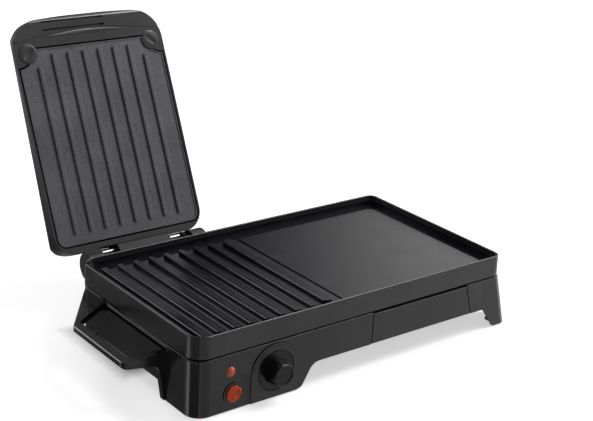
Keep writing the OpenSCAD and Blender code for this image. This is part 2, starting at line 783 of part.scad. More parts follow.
module hinge_pins() {
    color("#c8cacc") {
        rod_x(hinge_y, hinge_z, tower_x[0] + 3 + 0.1, tower_x[0] + 3 + pin_l, pin_r);
        rod_x(hinge_y, hinge_z, tower_x[1] + tower_w - 3 - pin_l, tower_x[1] + tower_w - 3.1, pin_r);
    }
}

module hinge_bushes() {
    color("#e0ddd0") for (x = [lid_x - block_l/2 + seat, lid_x + block_l/2 - bush_l - seat])
        difference() {
            rod_x(hinge_y, hinge_z, x, x + bush_l, pin_r + bush_t);
            rod_x(hinge_y, hinge_z, x - cut, x + bush_l + cut, pin_r + pin_clear);
        }
}

module hinge_block() {
    half = block_l/2;
    knuckle = 27;                        // length of each bare barrel end
    lug = 5;
    deep = rim_w - 1.2;
    top_v = hinge_back - 1;
    color("#2c2c2e") on_lid() difference() {
        union() {
            rod_x(0, 0, lid_x - half, lid_x + half, barrel_r);
            // middle panel and neck
            along_x(lid_x - half + knuckle, lid_x + half - knuckle)
                polygon(rounded([[-8, -6, 0], [6, -10, 3], [top_v, -1, 3], [top_v, deep, 1],
                    [lid_v0 - seat, deep + 1, 0], [lid_v0 - seat, rim_w + 26, 0],
                    [2, rim_w + 18, 6], [-11, 6, 3]]));
            // web behind the barrel ends, up to the lid
            along_x(lid_x - half, lid_x + half)
                polygon(rounded([[-9, 6, 2], [9, 7, 2], [lid_v0 - seat, 20, 0],
                    [lid_v0 - seat, rim_w + 22, 0], [4, rim_w + 14, 6]]));
            // end lugs that carry the cross pins
            for (x = [lid_x - half, lid_x + half - lug]) along_x(x, x + lug)
                polygon(rounded([[0, -barrel_r, 0], [12, -6, 4], [18, 6, 4], [lid_v0 - seat, 22, 0],
                    [-4, 16, 0]]));
            // stop lugs, pointing down when the lid is open
            for (x = [lid_x - half + 1, lid_x + half - stop_l + 1])
                rotate([-lean, 0, 0]) translate([x, -stop_r + 0.5, -stop_t/2])
                    cube([stop_l - 2, stop_r - barrel_r + 4, stop_t]);
        }
        for (x = [lid_x - half - cut, lid_x + half - bush_l - 2*seat])
            rod_x(0, 0, x, x + bush_l + 2*seat + cut, pin_r + bush_t + 0.02);
        for (x = [lid_x - half - cut, lid_x + half - 20])
            rod_x(0, 0, x, x + 20 + cut, pin_r + 0.5);
        for (x = [lid_x - half - cut, lid_x + half - knuckle - 3])
            rod_x(13.5, 8, x, x + knuckle + 3 + cut, 2.6);
        for (p = lid_screw_places()) rod_y(p[0], p[1], 4, 30, screw_r + screw_fit);
    }
}

function lid_screw_places() = [for (x = [-45, -15, 15, 45]) [lid_x + x, rim_w + 12]];

module lid_cross_pins() {
    color("#d4d6d8") on_lid()
        for (x = [lid_x - block_l/2 + seat, lid_x + block_l/2 - 29 + seat])
            rod_x(13.5, 8, x, x + 28, 2.5);
}

// ---- lid ----

// plan of the lid: rear corners of radius r1, an arched front of radius rf between
// front corners of radius r2
module lid_plan(half, v0, v1, r1, r2, rf) {
    side = half - r2;
    corner_v = v1 - rf + sqrt(pow(rf - r2, 2) - side*side);
    ray = [side, corner_v - v1 + rf]*2;
    translate([-half, v0 + r1]) square([2*half, corner_v - v0 - r1]);
    translate([-half + r1, v0]) square([2*(half - r1), r1 + eps]);
    translate([-side, corner_v - eps]) square([2*side, r2/2]);
    intersection() {
        translate([0, v1 - rf]) circle(rf, $fn = 720);
        translate([0, v1 - rf]) polygon([[0, 0], ray, [-ray[0], ray[1]]]);
    }
    for (s = [-1, 1]) {
        translate([s*(half - r1), v0 + r1]) circle(r1);
        translate([s*side, corner_v]) circle(r2);
    }
}

// closed lid as (x, v, w): plan, front and side outlines cut into each other
module lid_form(inset) {
    half = lid_w/2 - inset;
    v0 = lid_v0 + inset;
    v1 = lid_reach - inset;
    arch_r = 620 - inset;
    slope = tan(tilt);
    intersection() {
        translate([lid_x, 0, 0]) linear_extrude(crown_w + 20)
            lid_plan(half, v0, v1, lid_r - inset, lid_r + 12 - inset, front_r - inset);
        translate([lid_x, crown_v, rim_w]) rotate([-tilt, 0, 0]) along_y(-80, lid_reach)
            intersection() {
                polygon(rounded([[-half, -90, 0], [half, -90, 0], [half, lid_t - inset, 22 - inset],
                    [-half, lid_t - inset, 22 - inset]]));
                translate([0, lid_t - inset - arch_r]) circle(arch_r, $fn = 720);
            }
        along_x(lid_x - half - cut, lid_x + half + cut)
            polygon(rounded([[v0, 0, 0], [v1, 0, 0],
                [v1, crown_w - inset - (v1 - crown_v)*slope + 0.3, 12 - inset],
                [v0, crown_w - inset + (crown_v - v0)*slope + 0.3, 20 - inset]]));
    }
}

module behind_arc(grow, w0, w1) {
    translate([lid_x, arc_v - arc_r, w0]) cylinder(h = w1 - w0, r = arc_r + grow, $fn = 720);
}

module lid_shell() {
    color("#343436") on_lid() difference() {
        intersection() {
            lid_form(0);
            behind_arc(0, rim_w, crown_w + cut);
        }
        intersection() {
            lid_form(lid_wall);
            behind_arc(-lid_wall, rim_w + lid_wall, crown_w + cut);
        }
        lid_plate_block(-lid_plate_gap, rim_w - cut, plate_back_w + lid_plate_gap);
        for (p = lid_screw_places())
            rod_y(p[0], p[1], lid_v0 - cut, lid_v0 + lid_wall + cut, screw_r + screw_fit);
    }
}

module lid_handle() {
    low = rim_w - 0.6;
    color("#303032") on_lid() difference() {
        intersection() {
            lid_form(0);
            along_x(lid_x - lid_w, lid_x + lid_w)
                polygon(rounded([[lid_v0, low, 0], [lid_reach, low, 7], [lid_reach, crown_w, 0],
                    [lid_v0, crown_w, 0]]));
            along_y(lid_v0, lid_reach + cut) translate([lid_x, 0])
                polygon(rounded([[-lid_w/2, low, 5], [lid_w/2, low, 5], [lid_w/2, crown_w, 0],
                    [-lid_w/2, crown_w, 0]]));
        }
        behind_arc(seat, 0, crown_w + cut);
        // two finger grooves on the underside
        for (v = [lid_reach - 17.5, lid_reach - 7])
            translate([lid_x - 19, v, low - cut]) linear_extrude(2.2 + cut) slot2d(90, 2.6);
    }
}

module lid_plate() {
    color("#5c5c60") on_lid() union() {
        difference() {
            lid_plate_block(0, rim_w - 0.2, plate_back_w);
            lid_plate_block(3, rim_w - cut, field_w);
        }
        for (i = [0:rib_count - 1]) {
            short = (i == 0 || i == rib_count - 1) ? lid_rib_short : 0;
            rib(lid_rib_x0 + i*rib_pitch, lid_rib_v0, lid_rib_v1 - short, field_w, lid_rib_w,
                lid_rib_h, true);
        }
        // bosses that the reflector is screwed to
        for (x = lid_boss_x, v = lid_boss_v)
            translate([lid_x + x, v, plate_back_w - eps])
                difference() {
                    cylinder(h = lid_pan_w - plate_back_w + eps, r = 4);
                    translate([0, 0, 2]) cylinder(h = 20, r = screw_r + screw_fit);
                }
    }
}

// plan of the lid plate with its hollow front corners, inset by a margin
module lid_plate_block(inset, w0, w1) {
    half = lid_w/2 - border;
    difference() {
        translate([lid_x, (lp_v0 + lp_v1)/2, w0]) linear_extrude(w1 - w0)
            rounded_rect(2*(half - inset), lp_v1 - lp_v0 - 2*inset, 12 - inset);
        for (s = [-1, 1]) translate([lid_x + s*half, lp_v1, w0 - cut])
            cylinder(h = w1 - w0 + 2*cut, r = notch_r + inset);
    }
}

module lid_heater() {
    color("#4a4a4c") on_lid() translate([lid_x, (lp_v0 + lp_v1)/2 + 6, lid_heater_w])
        rotate(90) serpentine(-lid_heater_l/2, lid_heater_l/2, 2*bend_r - 6, 4, heater_d/2);
}

module lid_reflector() {
    color("#b4b6b8") on_lid() difference() {
        translate([lid_x, (lid_boss_v[0] + lid_boss_v[1])/2 - 8, lid_pan_w]) linear_extrude(pan_t)
            rounded_rect(2*lid_boss_x[1] + 56, lid_boss_v[1] - lid_boss_v[0] + 62, 10);
        for (x = lid_boss_x, v = lid_boss_v)
            translate([lid_x + x, v, lid_pan_w - cut]) cylinder(h = pan_t + 2*cut, r = screw_r + 0.2);
    }
}

module lid_screws() {
    color("#b8babc") on_lid() {
        for (x = lid_boss_x, v = lid_boss_v)
            translate([lid_x + x, v, lid_pan_w + pan_t]) mirror([0, 0, 1]) screw(7);
        for (p = lid_screw_places())
            translate([p[0], lid_v0 + lid_wall, p[1]]) rotate([90, 0, 0]) screw(12);
    }
}

// ---- drip tray ----

// front view of the drip tray's front, grown by a gap and a height
module drawer_outline(gap, over) {
    top = base_z - 1.4 + 3*over;
    polygon([[drawer_x - gap, apron_z - over], [drawer_x1 + gap + over*drawer_slant, apron_z - over],
        [drawer_x1 + gap - (top - apron_z)*drawer_slant, top], [drawer_x - gap, top]]);
}

module drip_tray() {
    x0 = tray_x0;
    l = tray_box_l;
    y0 = y_front + panel_t;
    color("#9fa1a3") difference() {
        translate([x0, y0, drawer_z]) cube([l, drawer_d, drawer_h]);
        translate([x0 + drawer_t, y0 + drawer_t, drawer_z + drawer_t])
            cube([l - 2*drawer_t, drawer_d - 2*drawer_t, drawer_h]);
    }
}

module drip_tray_front() {
    color("#2e2e30") along_y(y_front, y_front + panel_t) drawer_outline(0, 0);
}

module drip_tray_runners() {
    x0 = tray_x0;
    l = tray_box_l;
    color("#242426") for (x = [x0 - seat - runner_t, x0 + l + seat]) union() {
        translate([x, y_front + base_wall + 4, cover_top])
            cube([runner_t, drawer_d - 8, 14]);
        translate([x - (x < x0 ? 0 : 5), y_front + base_wall + 4, cover_top])
            cube([runner_t + 5, drawer_d - 8, drawer_z - cover_top - seat]);
    }
}

// ---- controls ----

module heat_knob() {
    y0 = face_y - seat;
    skirt = 2.2;
    front = y_front - knob_out;
    nose = knob_r - 3.2;
    color("#303032") difference() {
        union() {
            rod_y(knob_cx, knob_z, y0 - skirt, y0, flange_r);
            translate([knob_cx, y0 - skirt + eps, knob_z]) rotate([90, 0, 0])
                cylinder(h = y0 - skirt - front - 1.5 + eps, r1 = knob_r, r2 = nose);
            translate([knob_cx, front + 1.5, knob_z]) rotate([90, 0, 0])
                cylinder(h = 1.5, r1 = nose, r2 = nose - 1.1);
        }
        // finger flutes on both sides, dying out towards the nose
        for (a = [-58, -29, 0, 29, 58], s = [0, 180])
            translate([knob_cx, 0, knob_z]) rotate([0, a + s, 0])
                rod_y(knob_r + 2.2, 0, front - cut, y0 - skirt - 0.8, 4);
        // dished face and its pointer
        rod_y(knob_cx, knob_z, front - cut, front + 0.9, nose - 2.6);
        translate([knob_cx - 0.6, front - cut, knob_z + nose - 3]) cube([1.2, cut + 0.9, 5]);
        rod_y(knob_cx, knob_z, y0 - 14, y0 + cut, shaft_r + 0.02);
        // hollow over the nut
        rod_y(knob_cx, knob_z, y0 - nut_t - 1.1, y0 + cut, nut_r + 1.6);
    }
}

module knob_shaft() {
    y0 = face_y - seat;
    color("#b8babc") rod_y(knob_cx, knob_z, y0 - 13.8, y_front + 20, shaft_r);
}

module thermostat() {
    body_y = y_front + base_wall + seat;
    color("#6d6a62") difference() {
        union() {
            translate([knob_cx - 17, body_y, knob_z - 15]) cube([34, 24, 30]);
            rod_y(knob_cx, knob_z, face_y - seat - nut_t - 0.4, body_y + eps, bush_r);
            for (s = [-1, 1]) translate([knob_cx + s*11 - 2, body_y + 24 - eps, knob_z - 3])
                cube([4, 9, 6]);
        }
        rod_y(knob_cx, knob_z, face_y - 10, y_front + 20 + 1, shaft_r + shaft_clear);
    }
}

module thermostat_nut() {
    y0 = face_y - 0.1 - nut_t;
    color("#b8babc") difference() {
        translate([knob_cx, y0, knob_z]) rotate([-90, 0, 0]) cylinder(h = nut_t, r = nut_r, $fn = 6);
        rod_y(knob_cx, knob_z, y0 - cut, y0 + nut_t + cut, bush_r + 0.05);
    }
}

module button_bezel() {
    color("#161617") difference() {
        union() {
            rod_y(button_cx, button_z, y_front - 1.2, y_front - eps, button_r + 3.2);
            rod_y(button_cx, button_z, y_front - 1.2, y_front + 9, button_r + 1.8);
        }
        rod_y(button_cx, button_z, y_front - 2*cut, y_front + 9 + cut, button_r + 0.3);
    }
}

module switch_body() {
    y0 = y_front + 9.2;
    side = 2*button_r - 2;
    color("#1d1d1e") difference() {
        translate([button_cx - side/2, y0, button_z - side/2 + 1]) cube([side, 22, side - 2]);
        rod_y(button_cx, button_z, y0 - cut, y0 + 8, 3.2);
    }
}

module power_button() {
    out = 2.6;
    color("#b8352a") union() {
        rod_y(button_cx, button_z, y_front - out, y_front + 5.5, button_r);
        translate([button_cx, y_front - out + eps, button_z]) rotate([90, 0, 0])
            cylinder(h = 0.8, r1 = button_r, r2 = button_r - 1.2);
        rod_y(button_cx, button_z, y_front + 5.5 - eps, y_front + 9.2 + 4, 3);
    }
}

module pilot_lens() {
    color("#c03a28") union() {
        rod_y(lamp_cx, lamp_z, y_front - 0.6, y_front + 6, lamp_r);
        translate([lamp_cx, y_front - 0.5, lamp_z]) rotate([90, 0, 0])
            rotate_extrude() intersection() {
                translate([0, -4.6]) circle(norm([lamp_r - 0.5, 4.6]));
                square([lamp_r, 10]);
            }
    }
}

module pilot_lamp() {
    color("#e8e2d4") union() {
        rod_y(lamp_cx, lamp_z, y_front + 6 + seat, y_front + 16, 4);
        for (s = [-1, 1]) rod_y(lamp_cx + s*2, lamp_z, y_front + 16 - eps, y_front + 22, 0.6);
    }
}

module terminal_block() {
    n = 3;
    color("#e6e4dc") translate([inlet_x - 40, y_back - 52, cover_top]) difference() {
        cube([n*10 + 4, 16, 14]);
        for (i = [0:n - 1]) {
            translate([7 + i*10, 8, 7]) cylinder(h = 10, r = 2.6);
            translate([7 + i*10, -cut, 5]) rotate([-90, 0, 0]) cylinder(h = 16 + 2*cut, r = 1.7);
        }
    }
}

module cord_grommet() {
    out = 2.4;
    color("#1c1c1c") difference() {
        union() {
            rod_y(inlet_x, inlet_z, y_back - 7.6, y_back + out, inlet_r + 3);
            rod_y(inlet_x, inlet_z, y_back + eps, y_back + out, inlet_r + 5.5);
            rod_y(inlet_x, inlet_z, y_back - 7.6, y_back - base_wall - 0.1, inlet_r + 4.6);
        }
        rod_y(inlet_x, inlet_z, y_back - 7.6 - cut, y_back + out + cut, inlet_r);
    }
}

module cover_screws() {
    color("#b8babc") for (p = cover_posts)
        translate([p[0], p[1], cover_z]) screw(18);
}

module box_screws() {
    color("#b8babc") for (p = box_posts)
        translate([p[0], p[1], leg_z + box_head_t]) intersection() {
            screw(14, box_head_r, box_head_t);
            translate([-5, -5, -box_head_t]) cube([10, 10, 30]);
        }
}

module tower_screws() {
    color("#b8babc") for (x = tower_x, z = [-1, 1])
        translate([x + tower_w/2, y_back - base_wall, tower_screw_z(z)])
            rotate([-90, 0, 0]) screw(10);
}

translate_all = [0, -centre_y, 0];

translate(translate_all) tray_frame();
translate(translate_all) cooking_plate();
translate(translate_all) plate_heater();
translate(translate_all) heater_saddles();
translate(translate_all) heat_reflector();
translate(translate_all) base_housing();
translate(translate_all) base_cover();
translate(translate_all) control_box_cover();
translate(translate_all) grip(false);  // left_handle
translate(translate_all) grip(true);  // right_handle
translate(translate_all) rubber_feet();
translate(translate_all) hinge_tower(0);  // left_hinge_tower
translate(translate_all) hinge_tower(1);  // right_hinge_tower
translate(translate_all) hinge_pins();
translate(translate_all) hinge_bushes();
translate(translate_all) hinge_block();
translate(translate_all) lid_shell();
translate(translate_all) lid_handle();
translate(translate_all) lid_plate();
translate(translate_all) lid_heater();
translate(translate_all) lid_reflector();
translate(translate_all) lid_cross_pins();
translate(translate_all) drip_tray();
translate(translate_all) drip_tray_front();
translate(translate_all) drip_tray_runners();
translate(translate_all) heat_knob();
translate(translate_all) knob_shaft();
translate(translate_all) thermostat();
translate(translate_all) thermostat_nut();
translate(translate_all) switch_body();
translate(translate_all) button_bezel();
translate(translate_all) power_button();
translate(translate_all) pilot_lens();
translate(translate_all) pilot_lamp();
translate(translate_all) terminal_block();
translate(translate_all) cord_grommet();
translate(translate_all) cover_screws();
translate(translate_all) box_screws();
translate(translate_all) tower_screws();
translate(translate_all) lid_screws();
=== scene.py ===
import math
import bpy
from mathutils import Matrix, Vector


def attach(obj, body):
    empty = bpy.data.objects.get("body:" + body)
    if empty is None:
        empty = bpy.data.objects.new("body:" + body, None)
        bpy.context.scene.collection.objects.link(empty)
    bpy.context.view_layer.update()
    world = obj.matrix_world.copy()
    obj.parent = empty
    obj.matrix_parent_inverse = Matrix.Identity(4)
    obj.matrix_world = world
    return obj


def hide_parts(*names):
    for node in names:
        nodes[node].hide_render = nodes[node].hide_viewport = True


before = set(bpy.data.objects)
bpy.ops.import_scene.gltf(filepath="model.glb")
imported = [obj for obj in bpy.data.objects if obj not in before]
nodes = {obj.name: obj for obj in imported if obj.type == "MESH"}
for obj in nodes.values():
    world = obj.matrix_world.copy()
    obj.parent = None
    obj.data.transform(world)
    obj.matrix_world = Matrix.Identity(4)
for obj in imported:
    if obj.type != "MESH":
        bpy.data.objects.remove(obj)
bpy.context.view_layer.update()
print("grill loaded:", len(nodes), "CAD pieces")


camera = {
    "lens": 81.58,
    "place": (-0.96833, -1.3006, 0.75291),
    "right": (0.79304, -0.60706, 0.05063),
    "up": (0.17863, 0.31119, 0.93341),
    "forward": (0.58240, 0.73118, -0.35523),
}


def placeCamera():
    data = bpy.data.cameras.new("studioCamera")
    data.lens = camera["lens"]
    data.sensor_width = 36
    data.clip_end = 50
    body = bpy.data.objects.new("studioCamera", data)
    right, up, ahead = (Vector(camera[k]) for k in ("right", "up", "forward"))
    turn = Matrix((right, up, -ahead)).transposed()
    body.matrix_world = Matrix.Translation(camera["place"]) @ turn.to_4x4()
    bpy.context.scene.collection.objects.link(body)
    bpy.context.scene.camera = body


placeCamera()


def linear(hexColour):  # sRGB hex to the linear values that a shader takes
    parts = [int(hexColour[i:i + 2], 16) / 255 for i in (1, 3, 5)]
    return [p / 12.92 if p <= 0.04045 else ((p + 0.055) / 1.055) ** 2.4 for p in parts] + [1]


def addNode(tree, kind, values=None, **links):  # a shader node, its values and its inputs
    node = tree.nodes.new(kind)
    for key, value in (values or {}).items():
        if isinstance(key, str) and hasattr(node, key):
            setattr(node, key, value)
        else:
            node.inputs[key].default_value = value
    for key, source in links.items():
        target = node.inputs[int(key[2:])] if key.startswith("in") else node.inputs[key.replace("_", " ")]
        tree.links.new(source, target)
    return node


def newMaterial(name):
    material = bpy.data.materials.new(name)
    material.use_nodes = True
    tree = material.node_tree
    shader = tree.nodes["Principled BSDF"]
    place = addNode(tree, "ShaderNodeTexCoord").outputs["Object"]
    return material, tree, shader, place


def noise(tree, place, sizeMm, detail=3, roughness=0.5):  # pattern whose lumps are sizeMm across
    return addNode(tree, "ShaderNodeTexNoise",
        {"Scale": 1000 / sizeMm, "Detail": detail, "Roughness": roughness}, Vector=place).outputs["Fac"]


def spread(tree, source, low, high, fromLow=0.3, fromHigh=0.7):  # most of a noise lies from 0.3 to 0.7
    limits = {"From Min": fromLow, "From Max": fromHigh, "To Min": low, "To Max": high}
    return addNode(tree, "ShaderNodeMapRange", limits, Value=source).outputs["Result"]


def combine(tree, operation, first, second=None, number=None):  # arithmetic on one or two patterns
    values = {"operation": operation}
    if number is not None:
        values[1] = number
    links = {"in0": first} if second is None else {"in0": first, "in1": second}
    return addNode(tree, "ShaderNodeMath", values, **links).outputs[0]


def colourBetween(tree, factor, first, second):
    mix = addNode(tree, "ShaderNodeMix", {"data_type": "RGBA"})
    tree.links.new(factor, mix.inputs["Factor"])
    mix.inputs[6].default_value = linear(first)
    mix.inputs[7].default_value = linear(second)
    return mix.outputs[2]


def bump(tree, shader, height, depthMm):
    relief = addNode(tree, "ShaderNodeBump", {"Strength": 1.0, "Distance": depthMm / 1000}, Height=height)
    tree.links.new(relief.outputs["Normal"], shader.inputs["Normal"])


def tint(tree, shader, factor, dark, light):
    tree.links.new(colourBetween(tree, factor, dark, light), shader.inputs["Base Color"])


def mouldedPlastic(name, dark, light, gloss=0.3, grainMm=0.5, grainDeep=0.02, specular=0.5):
    # satin moulding: a fine spark-eroded grain breaks the gloss, and slow clouds vary it
    material, tree, shader, place = newMaterial(name)
    clouds = noise(tree, place, 60, 2)
    grain = noise(tree, place, grainMm, 2)
    tint(tree, shader, spread(tree, clouds, 0, 1), dark, light)
    rough = combine(tree, "ADD", spread(tree, clouds, gloss - 0.04, gloss + 0.05),
        spread(tree, grain, -0.03, 0.03))
    tree.links.new(rough, shader.inputs["Roughness"])
    shader.inputs["IOR"].default_value = 1.5
    shader.inputs["Specular IOR Level"].default_value = specular
    bump(tree, shader, grain, grainDeep)
    return material


def coatedCasting(name, dark, light, gloss=0.42, speckMm=0.9, specular=0.5):
    # non-stick coat over a casting: fine speckle in colour and height, with broad soft patches of wear
    material, tree, shader, place = newMaterial(name)
    speck = noise(tree, place, speckMm, 4, 0.7)
    wear = noise(tree, place, 45, 3)
    tone = addNode(tree, "ShaderNodeMath", {"operation": "MULTIPLY_ADD", 1: 0.7},
        in0=spread(tree, speck, 0, 1), in2=spread(tree, wear, 0, 0.3)).outputs[0]
    tint(tree, shader, tone, dark, light)
    rough = combine(tree, "ADD", spread(tree, wear, gloss - 0.06, gloss + 0.06),
        spread(tree, speck, -0.05, 0.05))
    tree.links.new(rough, shader.inputs["Roughness"])
    shader.inputs["Specular IOR Level"].default_value = specular
    bump(tree, shader, speck, 0.05)
    return material


def plainMetal(name, dark, light, gloss=0.3, brushedAlong=None):
    # drawn or plated steel: fine scratches along one way, or a faint mill mottle
    material, tree, shader, place = newMaterial(name)
    if brushedAlong:
        stretched = addNode(tree, "ShaderNodeMapping", {"Scale": brushedAlong}, Vector=place)
        streaks = noise(tree, stretched.outputs["Vector"], 0.6, 4)
    else:
        streaks = noise(tree, place, 3, 4)
    tint(tree, shader, spread(tree, streaks, 0, 1), dark, light)
    tree.links.new(spread(tree, streaks, gloss - 0.07, gloss + 0.08), shader.inputs["Roughness"])
    shader.inputs["Metallic"].default_value = 1.0
    bump(tree, shader, streaks, 0.01)
    return material


def softRubber(name, dark, light):
    # matt rubber with a fine bloom
    material, tree, shader, place = newMaterial(name)
    bloom = noise(tree, place, 2, 4)
    tint(tree, shader, spread(tree, bloom, 0, 1), dark, light)
    tree.links.new(spread(tree, bloom, 0.68, 0.86), shader.inputs["Roughness"])
    bump(tree, shader, bloom, 0.03)
    return material


def translucentRed(name, deep, bright, gloss=0.16, specular=0.5, coat=0.15):
    # lamp plastic: clouded, with light scattered under the surface
    material, tree, shader, place = newMaterial(name)
    swirl = noise(tree, place, 5, 3)
    tint(tree, shader, spread(tree, swirl, 0, 1), deep, bright)
    tree.links.new(spread(tree, swirl, gloss - 0.04, gloss + 0.05), shader.inputs["Roughness"])
    shader.inputs["Subsurface Weight"].default_value = 0.25
    shader.inputs["Subsurface Scale"].default_value = 0.002
    shader.inputs["Subsurface Radius"].default_value = (1.0, 0.25, 0.15)
    shader.inputs["Specular IOR Level"].default_value = specular
    shader.inputs["Coat Weight"].default_value = coat
    shader.inputs["Coat Roughness"].default_value = 0.06
    bump(tree, shader, swirl, 0.03)
    return material


def dress(names, material):
    for name in names:
        mesh = nodes[name].data
        mesh.materials.clear()
        mesh.materials.append(material)


finishes = {  # darkest and lightest colour of each
    "frame": ("#202023", "#262629"),
    "base": ("#121214", "#18181a"),
    "handles": ("#0c0c0d", "#121213"),
    "lid": ("#0e0e0f", "#151517"),
    "plate": ("#0e0e13", "#1a1a21"),
    "lidPlate": ("#303034", "#5b5b61"),
}

framePlastic = mouldedPlastic("frameSatinPlastic", *finishes["frame"], gloss=0.24)
basePlastic = mouldedPlastic("baseGlossPlastic", *finishes["base"], gloss=0.17)
handlePlastic = mouldedPlastic("handleGlossPlastic", *finishes["handles"], gloss=0.19)
lidPlastic = mouldedPlastic("lidGlossPlastic", *finishes["lid"], gloss=0.2)
hingePlastic = mouldedPlastic("hingeSatinPlastic", *finishes["base"], gloss=0.3)
blockPlastic = mouldedPlastic("hingeBlockPlastic", *finishes["base"], gloss=0.36, specular=0.16)
underPlastic = mouldedPlastic("undersidePlastic", "#1c1c1e", "#232325", gloss=0.55, grainMm=0.9,
    grainDeep=0.05)
knobPlastic = mouldedPlastic("knobPlastic", "#0a0a0b", "#0e0e0f", gloss=0.2, grainMm=0.4, specular=0.32)
bezelPlastic = mouldedPlastic("bezelGlossPlastic", "#111112", "#161617", gloss=0.18)
ivoryPlastic = mouldedPlastic("naturalNylon", "#c9c4b2", "#d8d3c4", gloss=0.45)
ceramic = mouldedPlastic("thermostatCeramic", "#8f897c", "#a39d90", gloss=0.4, grainMm=1.5)
plateCoat = coatedCasting("griddleNonStickCoat", *finishes["plate"], gloss=0.21, specular=0.45)
lidPlateCoat = coatedCasting("lidPlateNonStickCoat", *finishes["lidPlate"], gloss=0.36, speckMm=2.6)
heaterSteel = plainMetal("heaterSheathSteel", "#4a4744", "#5e5a55", 0.45)
sheetSteel = plainMetal("platedSheetSteel", "#9a9b9d", "#b0b1b3", 0.32, (1, 0.05, 1))
reflectorSheet = plainMetal("reflectorAluminium", "#c4c5c7", "#d6d7d9", 0.24, (0.05, 1, 1))
pinSteel = plainMetal("brightPinSteel", "#a3a4a6", "#b9babd", 0.28, (0.05, 1, 1))
nutBrass = plainMetal("platedBrass", "#a58f5c", "#bba469", 0.28)
blackRubber = softRubber("footRubber", "#161616", "#202020")
redButton = translucentRed("redButtonPlastic", "#9c1e03", "#cf4a10", specular=0.25, coat=0.05)
redLens = translucentRed("redLensPlastic", "#9a210a", "#d05a2c", 0.1)
bulbGlass = mouldedPlastic("bulbGlass", "#d9c9a8", "#e8dcc4", gloss=0.08)

dress(["tray_frame"], framePlastic)
dress(["base_housing", "drip_tray_front"], basePlastic)
dress(["left_handle", "right_handle"], handlePlastic)
dress(["lid_shell", "lid_handle"], lidPlastic)
dress(["left_hinge_tower", "right_hinge_tower"], hingePlastic)
dress(["hinge_block"], blockPlastic)
dress(["base_cover", "control_box_cover", "drip_tray_runners"], underPlastic)
dress(["heat_knob"], knobPlastic)
dress(["button_bezel", "switch_body"], bezelPlastic)
dress(["hinge_bushes", "terminal_block"], ivoryPlastic)
dress(["thermostat"], ceramic)
dress(["cooking_plate"], plateCoat)
dress(["lid_plate"], lidPlateCoat)
dress(["plate_heater", "lid_heater"], heaterSteel)
dress(["heater_saddles", "drip_tray", "cover_screws", "box_screws", "tower_screws", "lid_screws",
    "knob_shaft"], sheetSteel)
dress(["heat_reflector", "lid_reflector"], reflectorSheet)
dress(["hinge_pins", "lid_cross_pins"], pinSteel)
dress(["thermostat_nut"], nutBrass)
dress(["rubber_feet", "cord_grommet"], blackRubber)
dress(["power_button"], redButton)
dress(["pilot_lens"], redLens)
dress(["pilot_lamp"], bulbGlass)
print("materials given to the CAD pieces")


def deselect():
    if bpy.context.object and bpy.context.object.mode != "OBJECT":
        bpy.ops.object.mode_set(mode="OBJECT")
    bpy.ops.object.select_all(action="DESELECT")


def choose(piece):
    deselect()
    piece.select_set(True)
    bpy.context.view_layer.objects.active = piece


def pickFaces(piece, test):  # leaves edit mode with just the wanted faces selected
    bpy.ops.mesh.select_all(action="DESELECT")
    bpy.ops.object.mode_set(mode="OBJECT")
    for face in piece.data.polygons:
        face.select = test(face)
    bpy.ops.object.mode_set(mode="EDIT")
    bpy.ops.mesh.select_mode(type="FACE")


def settle(piece, name, material, body, place=None, angle=35):
    # the place goes into the mesh, the walls face outwards, and the piece rides on its body
    choose(piece)
    bpy.ops.object.transform_apply(location=True, rotation=True, scale=True)
    if place:
        piece.data.transform(place)
    bpy.ops.object.mode_set(mode="EDIT")
    bpy.ops.mesh.select_all(action="SELECT")
    bpy.ops.mesh.normals_make_consistent(inside=False)
    bpy.ops.object.mode_set(mode="OBJECT")
    bpy.ops.object.shade_smooth_by_angle(angle=math.radians(angle))
    piece.name = piece.data.name = name
    piece.data.materials.clear()
    piece.data.materials.append(material)
    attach(piece, body)
    return piece


def countPicked(piece):
    return sum(face.select for face in piece.data.polygons)


def easeModifier(piece, width, angle):
    ease = piece.modifiers.new("easedEdges", "BEVEL")
    ease.width = width
    ease.segments = 2
    ease.limit_method = "ANGLE"
    ease.angle_limit = math.radians(angle)


def applyAll(piece):
    choose(piece)
    for modifier in list(piece.modifiers):
        bpy.ops.object.modifier_apply(modifier=modifier.name)


easing = {"merge": 0.00001, "flatWithin": 1.0, "sharpFrom": 40}


def softEdged(nodeName, pieceName, material, body, slotName, widthMm, reshape=None):
    # a copy of a CAD piece with its sharp edges eased, as a mould leaves them
    deselect()
    piece = nodes[nodeName].copy()
    piece.data = nodes[nodeName].data.copy()
    for key in list(piece.keys()):
        del piece[key]
    bpy.context.scene.collection.objects.link(piece)
    piece.parent = None
    choose(piece)
    bpy.ops.object.mode_set(mode="EDIT")
    bpy.ops.mesh.select_all(action="SELECT")
    bpy.ops.mesh.remove_doubles(threshold=easing["merge"])
    bpy.ops.mesh.dissolve_limited(angle_limit=math.radians(easing["flatWithin"]))
    if reshape:
        reshape(piece)
    bpy.ops.object.mode_set(mode="OBJECT")
    if widthMm:
        easeModifier(piece, widthMm / 1000, easing["sharpFrom"])
        applyAll(piece)
    settle(piece, pieceName, material, body)
    flat = piece.modifiers.new("flatFaces", "WEIGHTED_NORMAL")
    flat.keep_sharp = True
    applyAll(piece)
    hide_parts(nodeName)


